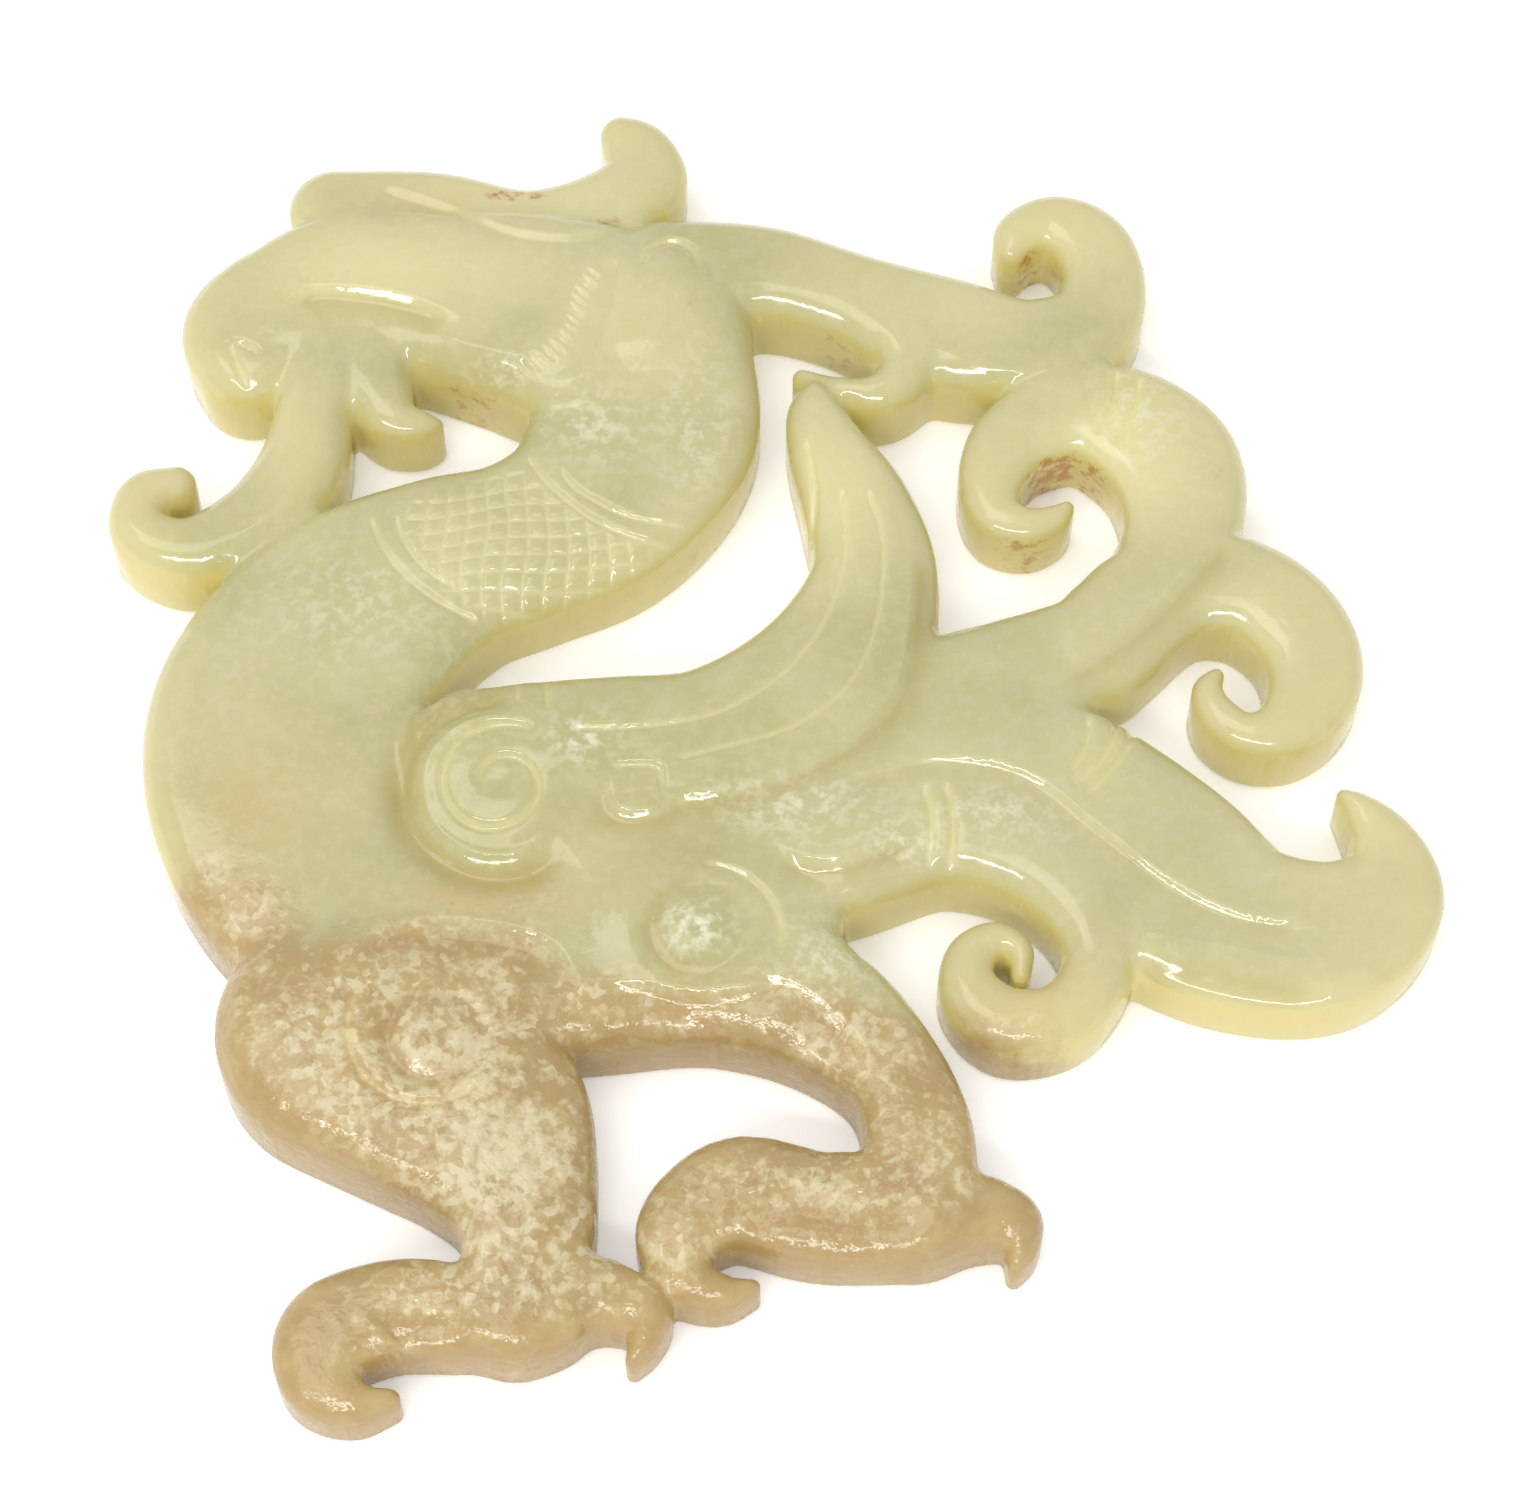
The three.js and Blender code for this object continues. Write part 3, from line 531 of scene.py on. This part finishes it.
# Carved bevels, rings and lines on the face
lowered = np.zeros(grid_x.shape)
raised = np.zeros(grid_x.shape)
for drop, slope, reach, points in BEVELS.values():
    bevel = drop * bevel_field(points, slope, reach)
    lowered = np.maximum(lowered, bevel)
    raised = np.maximum(raised, -bevel)
for (x, y), radius, half_width, depth, deepest in RINGS.values():
    from_ring = np.hypot(grid_x - x, grid_y - y) - radius
    turn = np.arctan2(grid_y - y, grid_x - x) - math.radians(deepest)
    share = RING_SHALLOWEST + (1 - RING_SHALLOWEST) * (1 + np.cos(turn)) / 2
    lowered = np.maximum(lowered, depth * share * np.exp(-(from_ring / half_width) ** 2))
carved = np.zeros(grid_x.shape)
for points in WIDE_LINES.values():
    lowered = np.maximum(lowered, WIDE_CUT[1] * line_field(points, WIDE_CUT[0]))
for (half_width, depth), lines in ((FINE_CUT, FINE_LINES), (BOLD_CUT, BOLD_LINES)):
    for points in lines.values():
        carved = np.maximum(carved, depth * line_field(points, half_width))
for coil in COILS.values():
    carved = np.maximum(carved, BOLD_CUT[1] * line_field(coil_points(*coil), BOLD_CUT[0]))
carved = np.maximum(carved, SCALE_CUT[1] * scale_lines())
carved = np.maximum(carved, RUFF_CUT[1] * ruff_lines())
face = face + raised - blur(lowered, HOLLOW_SOFTNESS) - carved

# Slight unevenness of hand polish, and the rough grain of the weathered legs
weathered = blur(inside_polygon(WEATHERED_PATCH).astype(float), WEATHERED_SOFTNESS)
chance = np.random.default_rng(SURFACE_SEED)


def ripple(size, height):
    """Random bumps of a size and a typical height."""
    bumps = blur(chance.standard_normal(grid_x.shape), size)
    return height * bumps / bumps.std()


for size, height in POLISH.values():
    face = face + ripple(size, height)
face = face + weathered * ripple(*PITTING)

# Bevel and rounded edge between the face and the upright side
face = face - CHAMFER[1] * np.clip(1 + outside / CHAMFER[0], 0, 1) ** 2
inward = np.clip(-outside / TOP_ROUNDING, 0, 1)
face = face - TOP_ROUNDING * (1 - np.sqrt(1 - (1 - inward) ** 2))

# Marks that the material reads: where the stone is stained, frosty, warm, painted lighter as painted light,
# flaked, cut, hollow, thin or weathered
stone_marks = {
    "face_stain": spots(FACE_STAINS),
    "side_stain": spots(SIDE_STAINS),
    "frost": spots(FROST),
    "blush": spots(BLUSH),
    "painted_light": spots(PAINTED_LIGHT),
    "flaked": spots(FLAKED),
    "carved": carved / FINE_CUT[1],
    "hollow": lowered,
    "thin": 1 - blur(stone, THIN_REACH),
    "weathered": weathered,
}


def sample(field, x, y):
    """Field values at plan points, between grid points."""
    column = np.clip((x - xs[0]) / GRID_STEP, 0, len(xs) - 1 - CELL_GUARD)
    row = np.clip((y - ys[0]) / GRID_STEP, 0, len(ys) - 1 - CELL_GUARD)
    i, j = column.astype(int), row.astype(int)
    u, v = column - i, row - j
    lower = field[j, i] * (1 - u) + field[j, i + 1] * u
    upper = field[j + 1, i] * (1 - u) + field[j + 1, i + 1] * u
    return lower * (1 - v) + upper * v


def face_mesh():
    """Plan points, faces and boundary edges of the grid cells inside the outline, cut along it."""
    inside = outside < 0
    number = np.full(inside.shape, -1)
    number[inside] = np.arange(inside.sum())
    points = [np.column_stack([grid_x[inside], grid_y[inside]])]
    count = int(inside.sum())

    # Points where the outline crosses a grid line
    crossing = {}
    for axis, (dj, di) in (("x", (0, 1)), ("y", (1, 0))):
        here = outside[:outside.shape[0] - dj, :outside.shape[1] - di]
        there = outside[dj:, di:]
        rows, columns = np.nonzero((here < 0) != (there < 0))
        share = here[rows, columns] / (here[rows, columns] - there[rows, columns])
        table = np.full(inside.shape, -1)
        table[rows, columns] = count + np.arange(len(rows))
        crossing[axis] = table
        x = xs[columns] + di * share * GRID_STEP
        y = ys[rows] + dj * share * GRID_STEP
        points.append(np.column_stack([x, y]))
        count += len(rows)

    # Whole cells, then those that the outline cuts
    corners = inside[:-1, :-1].astype(int) + inside[:-1, 1:] + inside[1:, 1:] + inside[1:, :-1]
    rows, columns = np.nonzero(corners == 4)
    whole = np.column_stack([number[rows, columns], number[rows, columns + 1],
                             number[rows + 1, columns + 1], number[rows + 1, columns]])
    faces = whole.tolist()
    border = {}
    for j, i in zip(*np.nonzero((corners > 0) & (corners < 4))):
        ring = [(number[j, i], crossing["x"][j, i]), (number[j, i + 1], crossing["y"][j, i + 1]),
                (number[j + 1, i + 1], crossing["x"][j + 1, i]), (number[j + 1, i], crossing["y"][j, i])]
        polygon = [int(k) for pair in ring for k in pair if k >= 0]
        faces.append(polygon)
        for a, b in zip(polygon, polygon[1:] + polygon[:1]):
            if a >= len(points[0]) and b >= len(points[0]):
                border[b] = a
    return np.vstack(points), faces, border


def border_loops(border):
    """Closed runs of boundary points, each with the stone on the same side."""
    loops = []
    left = dict(border)
    while left:
        start = next(iter(left))
        loop = [start]
        point = left.pop(start)
        while point != start:
            loop.append(point)
            point = left.pop(point)
        loops.append(loop)
    return loops


def side_strip(above, below):
    """Faces between two closed rows of points, one over the other."""
    return np.column_stack([above, np.roll(above, -1), np.roll(below, -1), below]).tolist()


def carving_mesh():
    """The stone as one closed mesh: carved face, flat back with an eased edge, and upright sides."""
    plan, faces, border = face_mesh()
    x, y = plan[:, 0], plan[:, 1]
    inward = np.clip(-sample(outside, x, y) / BACK_ROUNDING, 0, 1)
    back = BACK_ROUNDING * (1 - np.sqrt(1 - (1 - inward) ** 2))
    top = sample(face, x, y)
    vertices = [np.column_stack([x, y, top]), np.column_stack([x, y, back])]
    count = len(plan)
    faces += [[count + k for k in reversed(polygon)] for polygon in faces]
    first_back, count = count, 2 * count

    # Sides, row by row from the face's border down to the back's
    for loop in border_loops(border):
        loop = np.array(loop)
        above = loop
        for share in SIDE_ROWS:
            height = top[loop] + share * (back[loop] - top[loop])
            below = count + np.arange(len(loop))
            vertices.append(np.column_stack([x[loop], y[loop], height]))
            faces += side_strip(above, below)
            count += len(loop)
            above = below
        faces += side_strip(above, first_back + loop)

    mesh = bpy.data.meshes.new("jade_carving_stone")
    shifted = np.vstack(vertices) - np.array([*PLAN_CENTRE, 0])
    mesh.from_pydata((shifted * MM).tolist(), [], faces)
    mesh.validate()
    return mesh


def thin_out(mesh, target):
    """A copy of the mesh with about the target number of triangles, fewest where it is flat."""
    rough = bpy.data.objects.new("rough_stone", mesh)
    bpy.context.scene.collection.objects.link(rough)
    triangles = sum(len(p.vertices) - 2 for p in mesh.polygons)
    decimate = rough.modifiers.new("thin", "DECIMATE")
    decimate.ratio = min(1, target / triangles)
    evaluated = rough.evaluated_get(bpy.context.evaluated_depsgraph_get())
    result = bpy.data.meshes.new_from_object(evaluated)
    bpy.data.objects.remove(rough)
    return result


def add_attribute(mesh, name, values):
    """A number at each point of the mesh, for its material to read."""
    layer = mesh.attributes.new(name, "FLOAT", "POINT")
    layer.data.foreach_set("value", np.ascontiguousarray(values, np.float32))


# The piece
stone_mesh = thin_out(carving_mesh(), MESH_TRIANGLES)
stone_mesh.name = "jade_carving_face"
stone_mesh.shade_smooth()
positions = np.empty(3 * len(stone_mesh.vertices))
stone_mesh.vertices.foreach_get("co", positions)
positions = positions.reshape(-1, 3) / MM + np.array([*PLAN_CENTRE, 0])
for name, field in stone_marks.items():
    add_attribute(stone_mesh, name, sample(field, positions[:, 0], positions[:, 1]))

carving = bpy.data.objects.new("jade_plaque", stone_mesh)
bpy.context.scene.collection.objects.link(carving)
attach(carving, "root")
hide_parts("jade_carving")


# Colours of the stone and the paper as seen on a screen, 0 to 255
COLOURS = {
    "darker stone": (173, 169, 119),
    "lighter stone": (188, 183, 136),
    # painted light on the upper parts and thin ends
    "painted_light": (218, 209, 154),
    "blush": (196, 172, 118),
    "frost": (220, 216, 190),
    # painted glow of light through the stone, on thin parts and on the upright sides
    "thin": (206, 195, 142),
    "side": (204, 190, 121),
    "darker tan": (164, 135, 85),
    "lighter tan": (178, 152, 101),
    "flakes": (208, 197, 160),
    # painted shade on the tan stone's upright sides
    "tan side": (154, 124, 76),
    # painted glow in the cut lines
    "cut": (214, 208, 164),
    "cut in tan": (204, 184, 140),
    # painted shade in the hollows
    "hollow_shade": (166, 144, 76),
    "hollow shade in tan": (156, 120, 70),
    "stain": (166, 98, 16),
    "paper": (246, 246, 246),
}
WHITE = (1, 1, 1, 1)
# Noise in the stone: features per metre, detail and roughness
NOISE = {"cloud": (95, 2, 0.55), "grain": (1500, 2, 0.65), "patches": (280, 3, 0.65)}
NOISE_MIDDLE = 0.5
FLAKE_CELLS = 2200.0  # cells per metre
# Where tints come in: the range of a mark or a noise, then the tint's shares at the range's ends if they
# aren't 0 and 1. A strength is a share on its own.
LIGHTER_STONE = (0.36, 0.68)
PAINTED_LIGHT_STRENGTH = 0.8
BLUSH_STRENGTH = 0.9
FROST_GRAIN = (0.4, 0.68)
FROST_EVERYWHERE = 0.1
THIN_GLOW_TINT = (0.15, 0.6, 0, 0.7)
UPRIGHT = (0.75, 0.15)
SIDE_GLOW_STRENGTH = 0.85
RAGGED_BORDER = 1.6
TAN_TINT = (0.15, 0.85, 0, 0.9)
LIGHTER_TAN = (0.36, 0.64)
TAN_SIDE_SHADE_STRENGTH = 0.7
FLAKE_WEIGHTS = {"cells": 0.42, "grain": 1.1, "flaked": 0.35}
FLAKE_RANGE = (1.22, 1.72)
FLAKES_END = (0.5, 0.3)
FLAKE_STRENGTH = 0.8
CUT_GLOW_TINT = (0.1, 0.9, 0, 0.3)
HOLLOW_SHADE_TINT = (0.12, 0.55, 0, 0.5)
SPECK_HOLD = 0.2
SPECK_RANGE = (0.55, 0.8)
STAIN_TINT = (0.1, 0.6, 0, 0.75)
BUMP_WEATHERED = (0, 1, 0.18, 1)
ROUGHNESS_GRAIN = (0.3, 0.75, 0.06, 0.17)
ROUGHNESS_WEATHERED = 0.1


# Materials
class Nodes:
    """Short calls for building a material's node tree."""

    def __init__(self, material):
        material.use_nodes = True
        self.tree = material.node_tree
        self.tree.nodes.clear()

    def add(self, kind, inputs=None, **settings):
        """A new node, with inputs that are plain values or other nodes' outputs."""
        node = self.tree.nodes.new(kind)
        for key, value in settings.items():
            setattr(node, key, value)
        for key, value in (inputs or {}).items():
            self.feed(node.inputs[key], value)
        return node

    def feed(self, socket, value):
        if isinstance(value, bpy.types.NodeSocket):
            self.tree.links.new(value, socket)
        else:
            socket.default_value = value

    def noise(self, where, scale, detail, roughness):
        inputs = {"Vector": where, "Scale": scale, "Detail": detail, "Roughness": roughness}
        return self.add("ShaderNodeTexNoise", inputs).outputs["Fac"]

    def between(self, value, low, high, to_low=0.0, to_high=1.0):
        """A smooth step from to_low, where the value is at low, to to_high, where it is at high."""
        inputs = {"Value": value, "From Min": low, "From Max": high, "To Min": to_low, "To Max": to_high}
        return self.add("ShaderNodeMapRange", inputs, interpolation_type="SMOOTHSTEP").outputs["Result"]

    def math(self, operation, a, b):
        return self.add("ShaderNodeMath", {0: a, 1: b}, operation=operation).outputs[0]

    def plus(self, a, b):
        return self.math("ADD", a, b)

    def times(self, a, b):
        return self.math("MULTIPLY", a, b)

    def mix(self, share, a, b):
        """Colour a with a share of colour b in it."""
        node = self.add("ShaderNodeMix", {"Factor": share}, data_type="RGBA")
        first, second = [socket for socket in node.inputs if socket.type == "RGBA"]
        self.feed(first, a)
        self.feed(second, b)
        return next(socket for socket in node.outputs if socket.type == "RGBA")


def rgb(name):
    """Linear value of a named colour, by the sRGB curve."""
    def linear(v):
        v = v / 255
        return v / 12.92 if v <= 0.04045 else ((v + 0.055) / 1.055) ** 2.4
    return (*map(linear, COLOURS[name]), 1)


def jade_material():
    """Pale polished jade, weathered to flaky tan on the legs, with frosty patches and brown stains, and
    painted light and shade: glow on thin parts, upright sides and cut lines, lighter upper parts, and shade
    in the hollows and on the tan sides.
    """
    material = bpy.data.materials.new("jade")
    n = Nodes(material)
    where = n.add("ShaderNodeTexCoord").outputs["Object"]
    normal = n.add("ShaderNodeNewGeometry").outputs["Normal"]
    facing_up = n.add("ShaderNodeSeparateXYZ", {"Vector": normal}).outputs["Z"]
    upright = n.between(facing_up, *UPRIGHT)
    mark = {name: n.add("ShaderNodeAttribute", attribute_name=name).outputs["Fac"] for name in stone_marks}
    cloud, grain, patches = [n.noise(where, *NOISE[name]) for name in ("cloud", "grain", "patches")]

    # Pale yellow-green stone with pale clouds, painted light on the upper parts and thin ends, a warm blush
    # and frosty patches
    colour = n.mix(n.between(cloud, *LIGHTER_STONE), rgb("darker stone"), rgb("lighter stone"))
    colour = n.mix(n.times(mark["painted_light"], PAINTED_LIGHT_STRENGTH), colour, rgb("painted_light"))
    colour = n.mix(n.times(mark["blush"], BLUSH_STRENGTH), colour, rgb("blush"))
    frost = n.times(n.between(grain, *FROST_GRAIN), n.plus(mark["frost"], FROST_EVERYWHERE))
    colour = n.mix(frost, colour, rgb("frost"))

    # Painted glow: warmer and lighter where the stone is thin and on the upright sides, standing in for light
    # through the stone
    colour = n.mix(n.between(mark["thin"], *THIN_GLOW_TINT), colour, rgb("thin"))
    colour = n.mix(n.times(upright, SIDE_GLOW_STRENGTH), colour, rgb("side"))

    # Weathered tan legs with a ragged border, thick with cream flakes
    ragged = n.times(n.math("SUBTRACT", patches, NOISE_MIDDLE), RAGGED_BORDER)
    tan_zone = n.between(n.plus(mark["weathered"], ragged), *TAN_TINT)
    tan = n.mix(n.between(patches, *LIGHTER_TAN), rgb("darker tan"), rgb("lighter tan"))
    cells = n.add("ShaderNodeTexVoronoi", {"Vector": where, "Scale": FLAKE_CELLS}).outputs["Color"]
    cell_tone = n.add("ShaderNodeSeparateColor", {"Color": cells}).outputs["Red"]
    flakes = n.plus(n.times(cell_tone, FLAKE_WEIGHTS["cells"]), n.times(grain, FLAKE_WEIGHTS["grain"]))
    flakes = n.plus(flakes, n.plus(patches, n.times(mark["flaked"], FLAKE_WEIGHTS["flaked"])))
    flakes = n.times(n.between(flakes, *FLAKE_RANGE), n.between(mark["thin"], *FLAKES_END))
    tan = n.mix(n.times(flakes, FLAKE_STRENGTH), tan, rgb("flakes"))
    # Painted shade: the tan stone's upright sides are a darker tan, which also covers most flakes
    tan = n.mix(n.times(upright, TAN_SIDE_SHADE_STRENGTH), tan, rgb("tan side"))
    colour = n.mix(tan_zone, colour, tan)

    # Painted light and shade: cut lines are painted paler as a glow, hollows are painted a little olive or
    # brown as shade
    cut = n.mix(tan_zone, rgb("cut"), rgb("cut in tan"))
    colour = n.mix(n.between(mark["carved"], *CUT_GLOW_TINT), colour, cut)
    # Painted shade in the hollows
    hollow_shade = n.mix(tan_zone, rgb("hollow_shade"), rgb("hollow shade in tan"))
    colour = n.mix(n.between(mark["hollow"], *HOLLOW_SHADE_TINT), colour, hollow_shade)

    # Brown stains in broken specks
    stain = n.math("MAXIMUM", mark["face_stain"], n.times(mark["side_stain"], upright))
    specks = n.between(n.plus(grain, n.times(stain, SPECK_HOLD)), *SPECK_RANGE)
    colour = n.mix(n.times(specks, n.between(stain, *STAIN_TINT)), colour, rgb("stain"))

    # Fine grain, coarser and duller where the stone is weathered
    grainy = n.times(grain, n.between(mark["weathered"], *BUMP_WEATHERED))
    bump = n.add("ShaderNodeBump", {"Height": grainy, "Strength": 0.5, "Distance": 0.18 * MM})
    dull = n.times(mark["weathered"], ROUGHNESS_WEATHERED)
    roughness = n.plus(n.between(grain, *ROUGHNESS_GRAIN), dull)

    shader = n.add("ShaderNodeBsdfPrincipled", {
        "Base Color": colour,
        "Roughness": roughness,
        "IOR": 1.62,
        "Subsurface Weight": 0.5,
        "Subsurface Radius": (1.0, 1.0, 0.6),
        "Subsurface Scale": 3 * MM,
        "Normal": bump.outputs["Normal"],
    }, subsurface_method="BURLEY")
    output = n.add("ShaderNodeOutputMaterial")
    n.tree.links.new(shader.outputs["BSDF"], output.inputs["Surface"])
    return material


def paper_material():
    """White paper, bright enough to lose its shadows as in the photograph."""
    material = bpy.data.materials.new("paper")
    n = Nodes(material)
    shader = n.add("ShaderNodeBsdfPrincipled", {
        "Base Color": rgb("paper"),
        "Roughness": 0.9,
        "Emission Color": WHITE,
        "Emission Strength": 0.26,
    })
    output = n.add("ShaderNodeOutputMaterial")
    n.tree.links.new(shader.outputs["BSDF"], output.inputs["Surface"])
    return material


carving.data.materials.append(jade_material())

# Floor
FLOOR_HALF = 1.2
FLOOR_GAP = 0.05 * MM  # keeps the paper just clear of the stone's back
floor_mesh = bpy.data.meshes.new("paper_floor")
corners = [(x * FLOOR_HALF, y * FLOOR_HALF, 0) for x, y in ((-1, -1), (1, -1), (1, 1), (-1, 1))]
floor_mesh.from_pydata(corners, [], [(0, 1, 2, 3)])
floor = bpy.data.objects.new("paper_floor", floor_mesh)
floor.location.z = -FLOOR_GAP
floor_mesh.materials.append(paper_material())
bpy.context.scene.collection.objects.link(floor)


# Light
def area_light(name, place, size, power):
    """A rectangular lamp that points at the origin."""
    data = bpy.data.lights.new(name, "AREA")
    data.shape = "RECTANGLE"
    data.size, data.size_y = size
    data.energy = power
    light = bpy.data.objects.new(name, data)
    light.location = place
    light.rotation_euler = (-Vector(place)).to_track_quat("-Z", "Y").to_euler()
    bpy.context.scene.collection.objects.link(light)


area_light("softbox", place=(-0.18, 0.03, 0.48), size=(0.35, 0.35), power=0.6)
area_light("strip", place=(-0.1, -0.33, 0.34), size=(0.42, 0.045), power=0.9)
WORLD_STRENGTH = 0.79
world = bpy.data.worlds.new("studio")
world.use_nodes = True
background = world.node_tree.nodes["Background"]
background.inputs["Color"].default_value = WHITE
background.inputs["Strength"].default_value = WORLD_STRENGTH
bpy.context.scene.world = world
bpy.context.scene.view_settings.view_transform = "Standard"

# Camera, looking down at 60 degrees
ELEVATION = math.radians(60)
DISTANCE = 210.5 * MM
target = Vector((-PLAN_CENTRE[0] * MM, -PLAN_CENTRE[1] * MM, 0))
camera_data = bpy.data.cameras.new("camera")
camera_data.lens = 94.6
camera_data.sensor_width = 36
camera_data.clip_start = 0.01
camera = bpy.data.objects.new("camera", camera_data)
camera.location = target + Vector((0, -DISTANCE * math.cos(ELEVATION), DISTANCE * math.sin(ELEVATION)))
camera.rotation_euler = (math.pi / 2 - ELEVATION, 0, 0)
bpy.context.scene.collection.objects.link(camera)
bpy.context.scene.camera = camera
